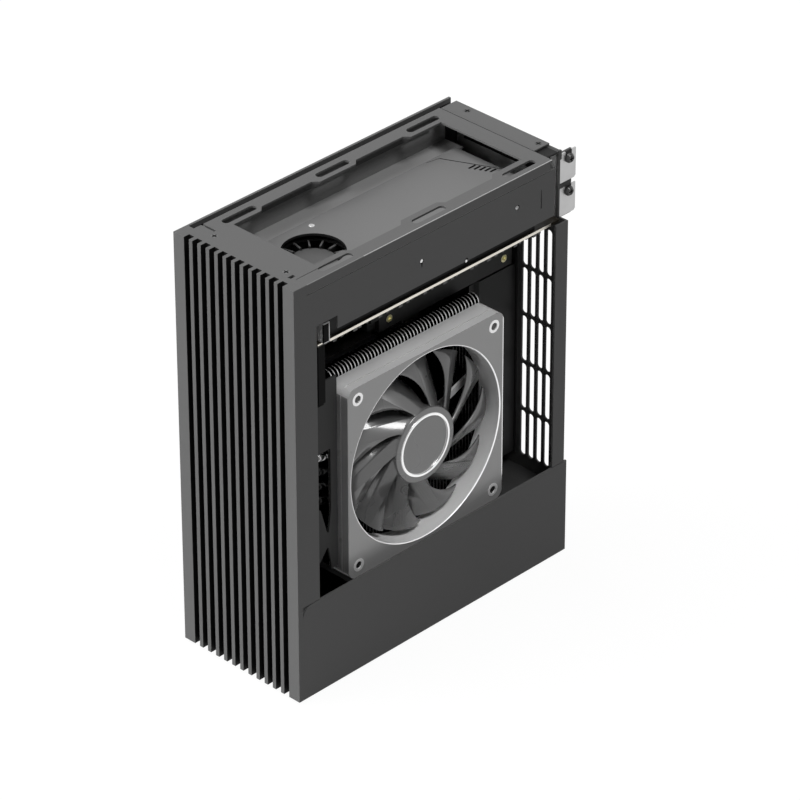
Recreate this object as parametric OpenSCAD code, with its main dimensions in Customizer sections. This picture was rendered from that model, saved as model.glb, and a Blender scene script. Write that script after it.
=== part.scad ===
// Mini computer case, upright, shown with its top cover and right side cover off.
// The front faces -Y and the open side faces +X.
// Heights in the modules count from the underside of the case, and place() lifts them by the feet.

/* [Case] */
// Width of the case over its side skins
case_w = 89.4; // [88:0.1:94]
// Depth of the case, front face to cover edge
case_d = 210.4; // [206:0.1:220]
// Height of the case without its feet
case_h = 256.7; // [254:0.1:270]
// Thickness of the folded steel sheet
sheet_t = 1.2; // [0.8:0.1:1.6]
// Height of the rubber feet
foot_h = 2; // [1:0.5:6]

/* [Front panel] */
// Thickness of the front panel
front_t = 9.7; // [8:0.1:12]
// Number of upright slots
slot_count = 12; // [6:1:13]
// Distance from slot to slot
slot_pitch = 6.33; // [5.5:0.01:6.6]
// Width of one slot
slot_w = 3.8; // [2:0.1:4.2]
// Depth of one slot
slot_depth = 4; // [2:0.1:6]

/* [Top frame] */
// Width of the groove between the left skin and the top frame
groove_w = 3.8; // [2:0.1:4.5]
// Distance from the plate's fold to the end of its side lip
lip_h = 6; // [4:0.5:9]
// Length of a rail slot
rail_slot_len = 24; // [12:0.1:30]
// Width of a rail slot
rail_slot_w = 4.7; // [2:0.1:5]
// Distance between the rail slots across the opening
rail_slot_x = 71.5; // [68:0.1:74]
// Distance from slot to slot along a rail
rail_slot_y = 69.3; // [50:0.1:72]

/* [Side opening] */
// Height of the lower side cover
cover_h = 59.2; // [50:0.1:70]
// Lower edge of the upper side wall
wall_z = 221.5; // [219:0.1:230]
// Width of the front column
column_w = 6.6; // [5:0.1:10]

/* [Rear vents] */
// Width of one rear vent slot
vent_w = 4; // [2:0.1:4.6]
// Distance between vent columns
vent_pitch = 5.95; // [5.5:0.01:6.2]
// Number of vent columns
vent_cols = 4; // [1:1:4]
// Number of vent rows
vent_rows = 5; // [1:1:5]
// Distance between vent rows
vent_row_pitch = 30.75; // [20:0.01:31]

/* [Cooler] */
// Side of the square cooler fan
fan_size = 120; // [120:1:120]
// Depth of the fan frame
fan_t = 15; // [12:0.5:16]
// Radius of the fan's mouth
fan_mouth_r = 57.6; // [54:0.1:58]
// Distance between the fan's corner holes
fan_hole_pitch = 105; // [105:1:105]
// Number of fan blades
blade_count = 11; // [7:1:13]
// Radius of the fan's hub
hub_r = 22.4; // [19:0.1:24]
// Number of fins in the cooler
fin_count = 46; // [20:1:46]
// Distance from fin to fin
fin_pitch = 2.5; // [2.4:0.1:2.6]
// Number of heat pipes
pipe_count = 5; // [3:1:5]

/* [Graphics card] */
// Radius of the card's air intake
intake_r = 17.5; // [15:0.1:19]
// Number of blower blades
blower_blades = 15; // [9:1:18]
// Width of one slot bracket
bracket_w = 18.42; // [18:0.01:19]
// Distance between two slots
slot_gap = 20.32; // [20.32:0.01:20.32]

/* [Power supply] */
// Height of the power supply
psu_h = 40.5; // [40.5:0.1:41]
// Width of the power supply
psu_w = 81.5; // [81.5:0.1:81.6]
// Depth of the power supply
psu_d = 140; // [120:1:150]

/* [Hidden] */
$fn = 64;
tab_out = 12;                         // how far the bracket tabs stand behind the case
shift_y = -tab_out / 2;               // puts the bounding box over the origin
half_w = case_w / 2;
front_y = -case_d / 2;
back_y = case_d / 2;
panel_y = front_y + front_t;          // back of the front panel
skin_t = 1.5;
skin_in = -half_w + skin_t;           // inner face of the left skin
tray_out = skin_in + groove_w;        // outer face of the inner left wall
tray_in = tray_out + sheet_t;
right_in = half_w - sheet_t;          // inner face of the right sheet
rear_out = 103;                       // outer face of the rear wall
rear_in = rear_out - sheet_t;
top_in = case_h - sheet_t;
plate_end = 89.5;                     // rear edge of the top plate
side_end = 91.8;                      // rear edge of the upper side wall
open_x0 = -27.5;
open_x1 = 32.4;
open_y0 = -78;
open_y1 = 78.5;
rail_cx = 2.8;
rail_cy = 0.75;
column_top = 214;
column_y0 = 93.5;
flange_x = 28.8;                      // inner face of the flange beside the cooler

board_x = -31.6;                      // component face of the mainboard
board_t = 1.6;
board_size = 170;
board_y1 = 100.7;
board_y0 = board_y1 - board_size;
board_z0 = 51;
board_z1 = board_z0 + board_size;
hole_in = 6.35;

fan_x1 = 36.55;                       // open face of the fan
fan_x0 = fan_x1 - fan_t;
fan_y = 1.33;
fan_z = 112.2;
tip_r = fan_mouth_r - 1.1;
ring_r = 18.7;                        // raised ring on the hub
shaft_r = 1.5;
run_gap = 0.05;
fin_x0 = -4;
fin_x1 = fan_x0;
fin_step = 9;
pipe_r = 3;
pipe_low = -20.5;
pipe_high = 14.5;
pipe_pitch = 9;

card_z0 = 212.4;
card_t = 1.6;
card_x1 = 40.3;
card_y0 = -84;
shroud_top = 242;
shroud_t = 1.5;
shroud_x0 = -21.8;
shroud_x1 = 38.4;
shroud_y0 = -79.7;
shroud_y1 = 83;
intake_x = 3.2;
intake_y = -49.7;
blower_hub_r = 12.9;
blower_r = 22.8;
blower_top = 235.6;
blower_base = 219;
tab_x1 = 36.6;
tab_t = 0.9;
wall_screw_z = [16, 89, 163];
port_x = [-20, -2.2, 15.6];            // video sockets on the card

io_x1 = 8;                            // outer face of the port cover
psu_z0 = 2.6;
psu_x0 = tray_in + 0.1;
psu_y0 = rear_in - psu_d;
psu_fan_x = -16;
psu_fan_r = 17.6;
button_x = 25;
button_z = 207.6;
inlet_x = 22;
inlet_w = 28.8;

steel = "#484848";
satin = "#707070";
black = "#151515";
silver = "#a8a8a8";
brass = "#c9a84a";

// Shared forms

module place() translate([0, shift_y, foot_h]) children();

module slab(x, y, z) {
    translate([x[0], y[0], z[0]])
        cube([x[1] - x[0], y[1] - y[0], z[1] - z[0]]);
}

module round_slot(len, w) {
    square([len - w, w], center = true);
    for (s = [-1, 1]) translate([s * (len - w) / 2, 0]) circle(d = w);
}

module round_plate(w, h, r) {
    square([w - 2 * r, h], center = true);
    square([w, h - 2 * r], center = true);
    for (sx = [-1, 1], sy = [-1, 1])
        translate([sx * (w / 2 - r), sy * (h / 2 - r)]) circle(r = r);
}

// A flat outline drawn in Y and Z and given a thickness along X
module along_x(x0, len) {
    translate([x0, 0, 0]) rotate([90, 0, 90]) linear_extrude(len) children();
}

// A flat outline drawn in X and Z and given a thickness along Y, towards +Y
module along_y(y0, len) {
    translate([0, y0 + len, 0]) rotate([90, 0, 0]) linear_extrude(len) children();
}

module rod_x(x0, y, z, len, r) translate([x0, y, z]) rotate([0, 90, 0]) cylinder(h = len, r = r);

module rod_y(x, y0, z, len, r) translate([x, y0, z]) rotate([-90, 0, 0]) cylinder(h = len, r = r);

module rod_z(x, y, z0, len, r) translate([x, y, z0]) cylinder(h = len, r = r);

// Countersunk screw, head down from z = 0, with a cross recess
module flat_screw(head_r, len) {
    difference() {
        union() {
            translate([0, 0, -1.4]) cylinder(h = 1.4, r1 = head_r - 1.4, r2 = head_r);
            translate([0, 0, -len]) cylinder(h = len, r = 1.45);
        }
        for (a = [0, 90]) rotate(a) translate([0, 0, -0.3]) cube([2.2, 0.6, 1.6], center = true);
    }
}

// Pan-head screw, head standing on z = 0, with a cross recess
module pan_screw(head_r, head_h, shank_r, len) {
    difference() {
        union() {
            cylinder(h = head_h * 0.55, r = head_r);
            translate([0, 0, head_h * 0.55])
                cylinder(h = head_h * 0.45, r1 = head_r, r2 = head_r * 0.72);
            translate([0, 0, -len]) cylinder(h = len + 0.01, r = shank_r);
        }
        for (a = [0, 90]) rotate(a)
            translate([0, 0, head_h]) cube([head_r * 1.1, head_r * 0.28, head_h], center = true);
    }
}

// Case

module front_panel() {
    zone = (slot_count - 1) * slot_pitch + slot_w;
    place() color(satin) difference() {
        slab([-half_w, half_w], [front_y, panel_y], [0, case_h]);
        for (i = [0 : slot_count - 1])
            translate([-zone / 2 + i * slot_pitch, front_y - 1, -1])
                cube([slot_w, slot_depth + 1, case_h + 2]);
        // step that the lower side cover lies in
        slab([right_in, half_w + 1], [front_y + 3.5, panel_y + 1], [-1, cover_h + 0.4]);
        // small notch in the top edge, in line with the top plate's relief slit
        slab([32, 34.2], [panel_y - 1.5, panel_y + 1], [case_h - 1, case_h + 1]);
        // screw pilot holes on the back
        for (x = [-30, 30], z = wall_screw_z) rod_y(x, panel_y - 4, z, 5, 1.45);
    }
}

module top_opening() {
    // the long edges step out between the rail slots, over four bevels
    wide = 3.3;
    h = 1.75;
    b = [-56, -15.7, 14.6, 53.8];
    x0 = open_x0;
    x1 = open_x1;
    polygon([
        [x0, open_y0], [x1, open_y0],
        [x1, b[0] - h], [x1 + wide, b[0] + h], [x1 + wide, b[1] - h], [x1, b[1] + h],
        [x1, b[2] - h], [x1 + wide, b[2] + h], [x1 + wide, b[3] - h], [x1, b[3] + h],
        [x1, open_y1], [x0, open_y1],
        [x0, b[3] + h], [x0 - wide, b[3] - h], [x0 - wide, b[2] + h], [x0, b[2] - h],
        [x0, b[1] + h], [x0 - wide, b[1] - h], [x0 - wide, b[0] + h], [x0, b[0] - h]
    ]);
}

module top_frame() {
    place() color(satin) difference() {
        union() {
            slab([tray_out, half_w], [panel_y, plate_end], [top_in, case_h]);
            slab([right_in, half_w], [panel_y, plate_end - 1.5], [case_h - lip_h, case_h]);
            // left flange inside the tray wall
            slab([tray_in, tray_in + sheet_t], [-80, 80], [case_h - 9, case_h]);
            // two ears that reach under the rear flange
            for (x = [-32, 21.4]) {
                slab([x, x + 7.4], [84, plate_end], [253.5, case_h - 0.6]);
                slab([x, x + 7.4], [84, rear_in - 1.1], [253.5, 254.7]);
            }
        }
        translate([0, 0, top_in - 1]) linear_extrude(sheet_t + 2) top_opening();
        for (x = [-1, 1], i = [-1, 0, 1])
            translate([rail_cx + x * rail_slot_x / 2, rail_cy + i * rail_slot_y, top_in - 1])
                rotate(90) linear_extrude(sheet_t + 2) round_slot(rail_slot_len, rail_slot_w);
        // relief slits beside the front screws
        slab([tray_out - 1, -29.4], [-90.3, -88.7], [top_in - 1, case_h + 1]);
        slab([32, 34.2], [panel_y - 1, -93], [top_in - 1, case_h + 1]);
        // fold line from the front edge to the right rail's first slot
        slab([36.5, 36.9], [panel_y - 1, rail_cy - rail_slot_y - 11], [case_h - 0.3, case_h + 1]);
        for (x = [-26, 27.4]) translate([x, -93.4, case_h - 1.4])
            cylinder(h = 1.401, r1 = 1.5, r2 = 2.05);
        for (x = [-26, 27.4]) rod_z(x, -93.4, top_in - 1, 3, 1.5);
        for (x = [-27, 26]) rod_z(x, 98.6, 252, 4, 1.5);
    }
}

module right_side_frame() {
    place() color(steel) difference() {
        union() {
            // upper wall with its joggled top edge under the lip of the top frame
            slab([right_in, half_w], [panel_y, side_end], [wall_z, case_h - lip_h - 0.35]);
            slab([right_in - sheet_t, right_in], [panel_y, plate_end - 2], [247, top_in]);
            // front column with its inner fold
            slab([right_in, half_w], [panel_y, panel_y + column_w], [cover_h + 0.4, wall_z + 1]);
            slab([right_in - sheet_t, right_in], [panel_y, panel_y + column_w], [sheet_t, top_in]);
            slab([flange_x, right_in], [panel_y + column_w - sheet_t, panel_y + column_w], [60, 205]);
            // flange that runs back towards the cooler
            slab([flange_x, flange_x + sheet_t], [panel_y + column_w - 0.6, -60.3], [60.8, 181]);
        }
        // two cable windows in the flange, with one bevelled corner each
        along_x(flange_x - 2, 5)
            polygon([
                [-84, 137.5], [-65.3, 137.5], [-65.3, 100], [-67.2, 85],
                [-68.2, 85], [-73, 101.5], [-84, 101.5]
            ]);
        along_x(flange_x - 2, 5)
            polygon([
                [-84, 68.8], [-73.7, 68.8], [-68.6, 75.6], [-67.6, 75.6], [-65.4, 64], [-65.4, 58], [-84, 58]
            ]);
        // corner notch at the top front of the opening
        slab([right_in - 2, half_w + 1], [panel_y + column_w, -73.6], [wall_z - 1, 229.3]);
        // slot, slit and holes in the upper wall
        rod_x(40, -10.7, 235.6, 6, 1.3);
        slab([40, 46], [-11.2, -10.2], [231.6, 235.6]);
        rod_x(40, 23.4, 222.3, 6, 1.2);
        rod_x(40, 62.6, 238, 6, 1.6);
        slab([right_in - 0.01, half_w + 1], [80.9, 81.7], [229.7, 241.4]);
    }
}

module left_side_panel() {
    place() color(steel) {
        slab([-half_w, skin_in], [panel_y, 102.6], [0, case_h]);
        // hooks that reach across the groove to the tray wall
        for (y = [-80, 0, 88], z = [24, 128, 232])
            slab([skin_in, tray_out], [y - 5, y + 5], [z - 4, z - 4 + sheet_t]);
    }
}

module vent_field() {
    len = vent_row_pitch - 1.65;
    for (c = [0 : vent_cols - 1], r = [0 : vent_rows - 1])
        translate([14.35 + c * vent_pitch, 51.25 + len / 2 + r * vent_row_pitch])
            rotate(90) round_slot(len, vent_w);
}

module rear_wall() {
    place() color(steel) difference() {
        union() {
            slab([tray_out, right_in], [rear_in, rear_out], [0, 254.8]);
            // top flange with its lower step at the right
            slab([tray_out, 30], [plate_end + 1.4, rear_out], [case_h - 1.9, case_h - 0.7]);
            slab([tray_out, 30], [rear_in, rear_out], [250, case_h - 1]);
            slab([29, 38], [plate_end + 1.4, rear_out], [case_h - 3.4, case_h - 2.2]);
            // right column, flush with the side, and the flange inside the lower cover
            slab([right_in, half_w], [column_y0, rear_out], [cover_h + 0.4, column_top]);
            slab([right_in - sheet_t, right_in], [column_y0, rear_out], [45, cover_h + 3]);
            slab([right_in - 1, half_w], [rear_in, rear_out], [cover_h + 0.4, column_top]);
            // ledge that the card's tabs are screwed to
            slab([tab_x1 - tab_t - 1.4, tab_x1 - tab_t], [rear_in, back_y + tab_out - 2.4], [211, 250.6]);
            // small lug beside the upper tab
            slab([36.8, 38.2], [rear_in + 0.2, 104.1], [248.8, 254.4]);
            // left flange against the tray wall
            slab([tray_in, tray_in + sheet_t], [rear_in - 8, rear_in], [222, 252]);
        }
        // cut away above the column
        slab([38.2, half_w + 1], [rear_in - 1, rear_out + 1], [column_top, case_h]);
        // vents, port opening, card slots
        along_y(rear_in - 1, 4) vent_field();
        slab([-35.4, 9.05], [rear_in - 1, rear_out + 1], [50.6, 209.35]);
        for (i = [0, 1]) slab([-34.5, 33.4], [rear_in - 1, rear_out + 1],
            [213.4 + i * slot_gap, 229.4 + i * slot_gap]);
        slab([tab_x1 - tab_t, tab_x1 + 0.1], [rear_in - 1, rear_out + 1], [211, 251]);
        // opening for the power supply's inlet, switch and fan, and the power button's hole
        slab([inlet_x - 15, inlet_x + 15], [rear_in - 1, rear_out + 1], [4.4, 40.2]);
        rod_y(psu_fan_x, rear_in - 1, psu_z0 + psu_h / 2, 4, psu_fan_r);
        for (x = [-35, 4], z = [-15.5, 15.5]) rod_y(x, rear_in - 1, psu_z0 + psu_h / 2 + z, 4, 1.6);
        rod_y(button_x, rear_in - 1, button_z, 4, 3.65);
        for (i = [0, 1]) rod_x(tab_x1 - 4, 111.4, 226.1 + i * slot_gap, 4, 1.45);
        for (x = [-27, 26]) rod_z(x, 98.6, case_h - 4, 5, 1.5);
        for (x = [-27, 26]) translate([x, 98.6, case_h - 0.7 - 1.4]) cylinder(h = 1.401, r1 = 1.5, r2 = 2.05);
    }
}

module board_tray() {
    place() color(steel) difference() {
        union() {
            slab([tray_out, tray_in], [panel_y, rear_in], [0, top_in]);
            // long folded ledge beside the graphics card
            slab([tray_in, -25], [open_y0 - 14, 94], [235.4, 236.6]);
        }
        // upper rear corner, clear of the rear flange
        slab([tray_out - 1, tray_in + 1], [plate_end, rear_in + 1], [254.6, case_h]);
        // two cable slots in front of the board
        along_x(tray_out - 1, 4) translate([-76, 60]) rotate(90) round_slot(40, 14);
        along_x(tray_out - 1, 4) translate([-76, 200]) rotate(90) round_slot(30, 14);
        for (h = board_holes()) rod_x(tray_out - 1, h[0], h[1], 4, 1.6);
    }
}

module front_wall() {
    place() color(steel) difference() {
        union() {
            slab([tray_in, right_in - sheet_t], [panel_y, panel_y + sheet_t], [sheet_t, top_in]);
            // top flange under the top plate
            slab([-36, 40], [panel_y, -90.6], [top_in - sheet_t, top_in]);
        }
        for (x = [-30, 30], z = wall_screw_z) rod_y(x, panel_y - 1, z, 4, 1.6);
        for (x = [-26, 27.4]) rod_z(x, -93.4, 250, 8, 1.5);
        // clear of the top plate's relief slit
        slab([31.7, 34.5], [panel_y - 1, -92.7], [251, case_h]);
    }
}

module bottom_plate() {
    place() color(steel) difference() {
        slab([tray_in, right_in], [panel_y, rear_in], [0, sheet_t]);
        // intake slots under the cable space
        for (i = [0 : 7], x = [-18, 20])
            translate([x, -84 + i * 6, -1]) linear_extrude(4) round_slot(30, 3);
    }
}

module cover_outline() {
    r = 7;
    y0 = front_y + 3.5;
    difference() {
        translate([y0, 0]) square([back_y - y0, cover_h]);
        translate([y0, cover_h - r]) difference() {
            translate([-1, 0]) square([r + 1, r + 1]);
            translate([r, 0]) circle(r = r);
        }
    }
}

module lower_side_cover() {
    place() color(steel) {
        along_x(right_in, sheet_t) cover_outline();
        // bottom flange with its two hooks
        slab([34, right_in], [-88, -48], [sheet_t, 2 * sheet_t]);
    }
}

module rubber_feet() {
    color(black) translate([0, shift_y, 0])
        for (x = [-33, 33], y = [-84, 84]) translate([x, y, 0]) {
            translate([0, 0, 0.5]) cylinder(h = foot_h - 0.5, r = 6);
            cylinder(h = 0.5, r1 = 5.5, r2 = 6);
        }
}

module case_screws() {
    place() color(black) {
        for (x = [-26, 27.4]) translate([x, -93.4, case_h]) flat_screw(2, 5);
        for (x = [-27, 26]) translate([x, 98.6, case_h - 0.7]) flat_screw(2, 4.5);
        for (x = [-30, 30], z = wall_screw_z)
            translate([x, panel_y + sheet_t, z]) rotate([-90, 0, 0]) pan_screw(2.8, 1.8, 1.4, 4.5);
        translate([right_in - sheet_t, 62.6, 238]) rotate([0, 90, 0]) pan_screw(1.55, 2, 0.9, 1);
    }
}

// Power button on the rear wall, over the vents

module power_button() {
    place() color(silver) {
        rod_y(button_x, rear_in - 5, button_z, 8.2, 2.5);
        rod_y(button_x, rear_in - 6.5, button_z, 1.6, 3.1);
    }
}

module button_housing() {
    place() color(black) difference() {
        union() {
            rod_y(button_x, rear_in - 10, button_z, 10 + sheet_t, 3.6);
            rod_y(button_x, rear_out, button_z, 0.9, 4.4);
            rod_y(button_x, rear_in - 2.5, button_z, 2.5, 4.2);
        }
        rod_y(button_x, rear_in - 3.4, button_z, 8, 2.56);
        rod_y(button_x, rear_in - 8.6, button_z, 5.3, 3.15);
    }
}

// Mainboard and what is on it

function board_holes() = [for (y = [board_y0 + hole_in, board_y1 - hole_in - 4],
    z = [board_z0 + hole_in, board_z1 - hole_in]) [y, z]];

module mainboard() {
    place() color("#101312") difference() {
        slab([board_x - board_t, board_x], [board_y0, board_y1], [board_z0, board_z1]);
        for (h = board_holes()) rod_x(board_x - 3, h[0], h[1], 5, 1.9);
        for (y = [-37.5, 37.5], z = [-37.5, 37.5])
            rod_x(board_x - 3, fan_y + y, fan_z + z, 5, 2);
    }
}

module board_standoffs() {
    place() color(brass) for (h = board_holes())
        difference() {
            union() {
                translate([tray_in, h[0], h[1]]) rotate([0, 90, 0])
                    cylinder(h = board_x - board_t - tray_in, r = 3, $fn = 6);
                rod_x(tray_out, h[0], h[1], sheet_t, 1.58);
            }
            rod_x(tray_in + 1, h[0], h[1], 8, 1.3);
        }
}

module board_screws() {
    place() color(silver) for (h = board_holes())
        translate([board_x, h[0], h[1]]) rotate([0, 90, 0]) pan_screw(3, 1.8, 1.25, 4);
}

module cpu_socket() {
    place() color("#6d6d70") difference() {
        slab([board_x, board_x + 4.4], [fan_y - 28, fan_y + 28], [fan_z - 30, fan_z + 30]);
        slab([board_x + 1.2, board_x + 5], [fan_y - 20, fan_y + 20], [fan_z - 20, fan_z + 20]);
    }
}

module processor() {
    place() color("#c4c6c8") {
        slab([board_x + 1.2, board_x + 3.2], [fan_y - 19.6, fan_y + 19.6], [fan_z - 19.6, fan_z + 19.6]);
        slab([board_x + 3.2, board_x + 5.6], [fan_y - 16, fan_y + 16], [fan_z - 16, fan_z + 16]);
    }
}

// Two memory modules along the lower edge of the board, under the fins

memory_y0 = -54.5;
memory_y1 = memory_y0 + 133.35;
memory_x1 = -4.8;
function memory_z(i) = board_z0 + 7.2 + i * 9.4;

module memory_slots() {
    place() color(black) for (i = [0, 1]) difference() {
        slab([board_x, board_x + 7], [memory_y0 - 4, memory_y1 + 4], [memory_z(i) - 3, memory_z(i) + 3]);
        slab([board_x + 1.5, board_x + 8], [memory_y0 - 0.1, memory_y1 + 0.1],
            [memory_z(i) - 0.75, memory_z(i) + 0.75]);
    }
}

module memory_stick(i) {
    place() color("#2a2a2c") {
        slab([board_x + 1.5, board_x + 8], [memory_y0, memory_y1], [memory_z(i) - 0.65, memory_z(i) + 0.65]);
        // heat spreader with cut upper corners
        translate([0, 0, memory_z(i) - 3.2]) linear_extrude(6.4)
            polygon([[board_x + 8, memory_y0], [memory_x1 - 3, memory_y0], [memory_x1, memory_y0 + 6],
                [memory_x1, memory_y1 - 6], [memory_x1 - 3, memory_y1], [board_x + 8, memory_y1]]);
    }
}

module memory_stick_a() memory_stick(0);

module memory_stick_b() memory_stick(1);

module board_power_socket() {
    place() color(black) difference() {
        slab([board_x, board_x + 13], [-67, -57], [150, 202]);
        for (r = [0, 1], i = [0 : 11])
            slab([board_x + 3, board_x + 14], [-66 + r * 4.7, -62.7 + r * 4.7],
                [151.2 + i * 4.2, 154.4 + i * 4.2]);
    }
}

module card_slot() {
    place() color(black) difference() {
        slab([board_x, board_x + 11.2], [-31, 58], [card_z0 + card_t / 2 - 3.8, card_z0 + card_t / 2 + 3.8]);
        slab([board_x + 2.4, board_x + 12], [-29.5, 56.5], [card_z0 - 0.1, card_z0 + card_t + 0.1]);
    }
}

// Port places on the rear edge of the board, from the bottom up

usb_z = [88.4, 104.4, 120.4];
video_z = [62.4, 79.2];
net_z = 137.6;
audio_z = [152.2, 163, 173.8];
port_y0 = 84;

module io_shield() {
    x0 = board_x - 0.2;
    place() color("#2c2c2e") difference() {
        slab([-35.2, 8.85], [rear_in - 0.6, rear_in + 0.4], [50.8, 209.15]);
        for (z = usb_z) slab([x0, board_x + 15.2], [90, 110], [z - 7.4, z + 7.4]);
        slab([x0, board_x + 14.2], [90, 110], [net_z - 8.1, net_z + 8.1]);
        for (z = audio_z) rod_y(board_x + 6.5, 90, z, 20, 4.4);
        slab([x0, board_x + 15], [90, 110], [video_z[0] - 0.2, video_z[1] + 0.2]);
    }
}

module usb_ports() {
    place() color("#9da0a2") for (z = usb_z) difference() {
        slab([board_x, board_x + 15], [port_y0, rear_out + 0.4], [z - 7.2, z + 7.2]);
        for (x = [1, 8.4]) difference() {
            slab([board_x + x, board_x + x + 5.6], [port_y0 + 6, rear_out + 2], [z - 6.6, z + 6.6]);
            slab([board_x + x + 0.4, board_x + x + 2.4], [port_y0 + 5, rear_out - 1], [z - 5.8, z + 5.8]);
        }
    }
}

module network_port() {
    place() color("#9da0a2") difference() {
        slab([board_x, board_x + 14], [port_y0, rear_out + 0.4], [net_z - 8, net_z + 8]);
        slab([board_x + 1.4, board_x + 9.4], [port_y0 + 5, rear_out + 2], [net_z - 6, net_z + 6]);
        slab([board_x + 9.3, board_x + 12.4], [port_y0 + 5, rear_out + 2], [net_z - 3, net_z + 3]);
    }
}

module video_ports() {
    place() color("#b0b2b4") for (x = [0, 8.2]) difference() {
        slab([board_x + x, board_x + x + 6.6], [port_y0, rear_out + 0.4], video_z);
        difference() {
            slab([board_x + x + 0.8, board_x + x + 5.8], [port_y0 + 5, rear_out + 2],
                [video_z[0] + 1, video_z[1] - 1]);
            slab([board_x + x + 2.5, board_x + x + 3.9], [port_y0 + 4, rear_out - 1],
                [video_z[0] + 2.8, video_z[1] - 2.8]);
        }
    }
}

module audio_jacks() {
    place() color(black) for (z = audio_z) difference() {
        union() {
            slab([board_x, board_x + 12], [port_y0, rear_in - 1], [z - 5.2, z + 5.2]);
            rod_y(board_x + 6.5, rear_in - 1.01, z, 2.6, 4.2);
        }
        rod_y(board_x + 6.5, port_y0 + 3, z, 30, 1.8);
    }
}

// Cover over the ports, a shell with a bevelled front edge, and the finned block that carries it

module io_cover() {
    x0 = -4;
    z1 = 173.2;
    place() color("#1c1d1f") {
        difference() {
            translate([0, 0, 51.5]) linear_extrude(z1 - 51.5) difference() {
                polygon([
                    [x0, rear_in - 0.9], [io_x1, rear_in - 0.9], [io_x1, 72], [io_x1 - 5, 66], [x0, 66]
                ]);
                polygon([
                    [x0 - 3, rear_in], [io_x1 - 2, rear_in], [io_x1 - 2, 73], [io_x1 - 6, 68], [x0 - 3, 68]
                ]);
            }
            // gills on the front edge
            for (i = [0 : 5]) slab([x0 + 1, x0 + 5], [60, 70], [80 + i * 15, 86 + i * 15]);
        }
        difference() {
            slab([board_x, io_x1 - 1.9], [66, 81], [73, z1 - 1]);
            for (i = [0 : 8]) slab([board_x + 8, io_x1 - 5], [65, 78], [77 + i * 10, 80 + i * 10]);
        }
    }
}

module drive_cover() {
    place() color("#1c1d1f") difference() {
        union() {
            slab([board_x, io_x1 - 3], [-12, 98], [181.5, 204]);
            along_y(-12, 110)
                polygon([[io_x1 - 3.01, 181.5], [io_x1, 182.5], [io_x1, 206], [io_x1 - 3.01, 206]]);
            slab([board_x, io_x1 - 3], [-12, 60], [176, 182]);
            slab([io_x1 - 3.01, io_x1], [-6, 98], [174.5, 183]);
        }
        for (y = [2, 91.7]) rod_x(io_x1 - 1.2, y, 180, 2, 2.3);
        for (y = [2, 91.7]) rod_x(io_x1 - 2.9, y, 180, 2, 1.3);
        for (i = [0 : 12]) slab([board_x + 6, io_x1 - 8], [-5 + i * 8, -2 + i * 8], [190, 207]);
    }
}

module cover_screws() {
    place() color(brass) for (y = [2, 91.7])
        translate([io_x1 - 1.2, y, 180]) rotate([0, 90, 0]) difference() {
            union() {
                cylinder(h = 1.3, r = 2.2);
                translate([0, 0, -1.6]) cylinder(h = 1.61, r = 1.25);
            }
            translate([0, 0, 0.5]) cylinder(h = 1, r = 1.1);
        }
}

// Cooler

module cooler_bracket() {
    place() color(silver) {
        for (y = [-1, 1]) difference() {
            slab([board_x + 6, board_x + 8], [fan_y + y * 37.5 - 5, fan_y + y * 37.5 + 5],
                [fan_z - 40.5, fan_z + 40.5]);
            for (z = [-37.5, 37.5]) rod_x(board_x + 5, fan_y + y * 37.5, fan_z + z, 4, 1.7);
        }
        for (y = [-37.5, 37.5], z = [-37.5, 37.5]) {
            rod_x(board_x, fan_y + y, fan_z + z, 6, 3.2);
            rod_x(board_x - 2, fan_y + y, fan_z + z, 11, 1.68);
            rod_x(board_x + 8, fan_y + y, fan_z + z, 2.6, 3.4);
        }
        slab([board_x + 8, board_x + 9.6], [fan_y - 42, fan_y + 42], [fan_z - 27.5, fan_z - 23]);
        slab([board_x + 8, board_x + 9.6], [fan_y - 42, fan_y + 42], [fan_z + 23, fan_z + 27.5]);
    }
}

function pipe_z(i) = fan_z + (i - (pipe_count - 1) / 2) * pipe_pitch;

module cooler_base() {
    place() color("#b8b9bb") difference() {
        slab([board_x + 5.6, pipe_low + 4], [fan_y - 20, fan_y + 20], [fan_z - 23, fan_z + 23]);
        for (i = [0 : pipe_count - 1])
            rod_y(pipe_low, fan_y - 30, pipe_z(i), 60, pipe_r + 0.01);
    }
}

module heat_pipes() {
    bend_r = (pipe_high - pipe_low) / 2;
    bend_y = -51;
    place() color("#d0d2d4") for (i = [0 : pipe_count - 1]) translate([0, 0, pipe_z(i)]) {
        rod_y(pipe_low, bend_y, 0, fan_y + 22 - bend_y, pipe_r);
        rod_y(pipe_high, bend_y, 0, 62.5 - bend_y, pipe_r);
        translate([(pipe_low + pipe_high) / 2, bend_y, 0]) rotate(180)
            rotate_extrude(angle = 180) translate([bend_r, 0]) circle(r = pipe_r);
    }
}

module fin_outline() {
    w = fin_x1 - fin_x0;
    half = fan_size / 2 - 0.4;
    // stepped section: full height beside the fan, narrower towards the board
    polygon([[fin_x1, -half], [fin_x1, half], [fin_step, half], [fin_step - 4, half - 8],
        [fin_x0, half - 10], [fin_x0, -half + 10], [fin_step - 4, -half + 8], [fin_step, -half]]);
}

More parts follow.
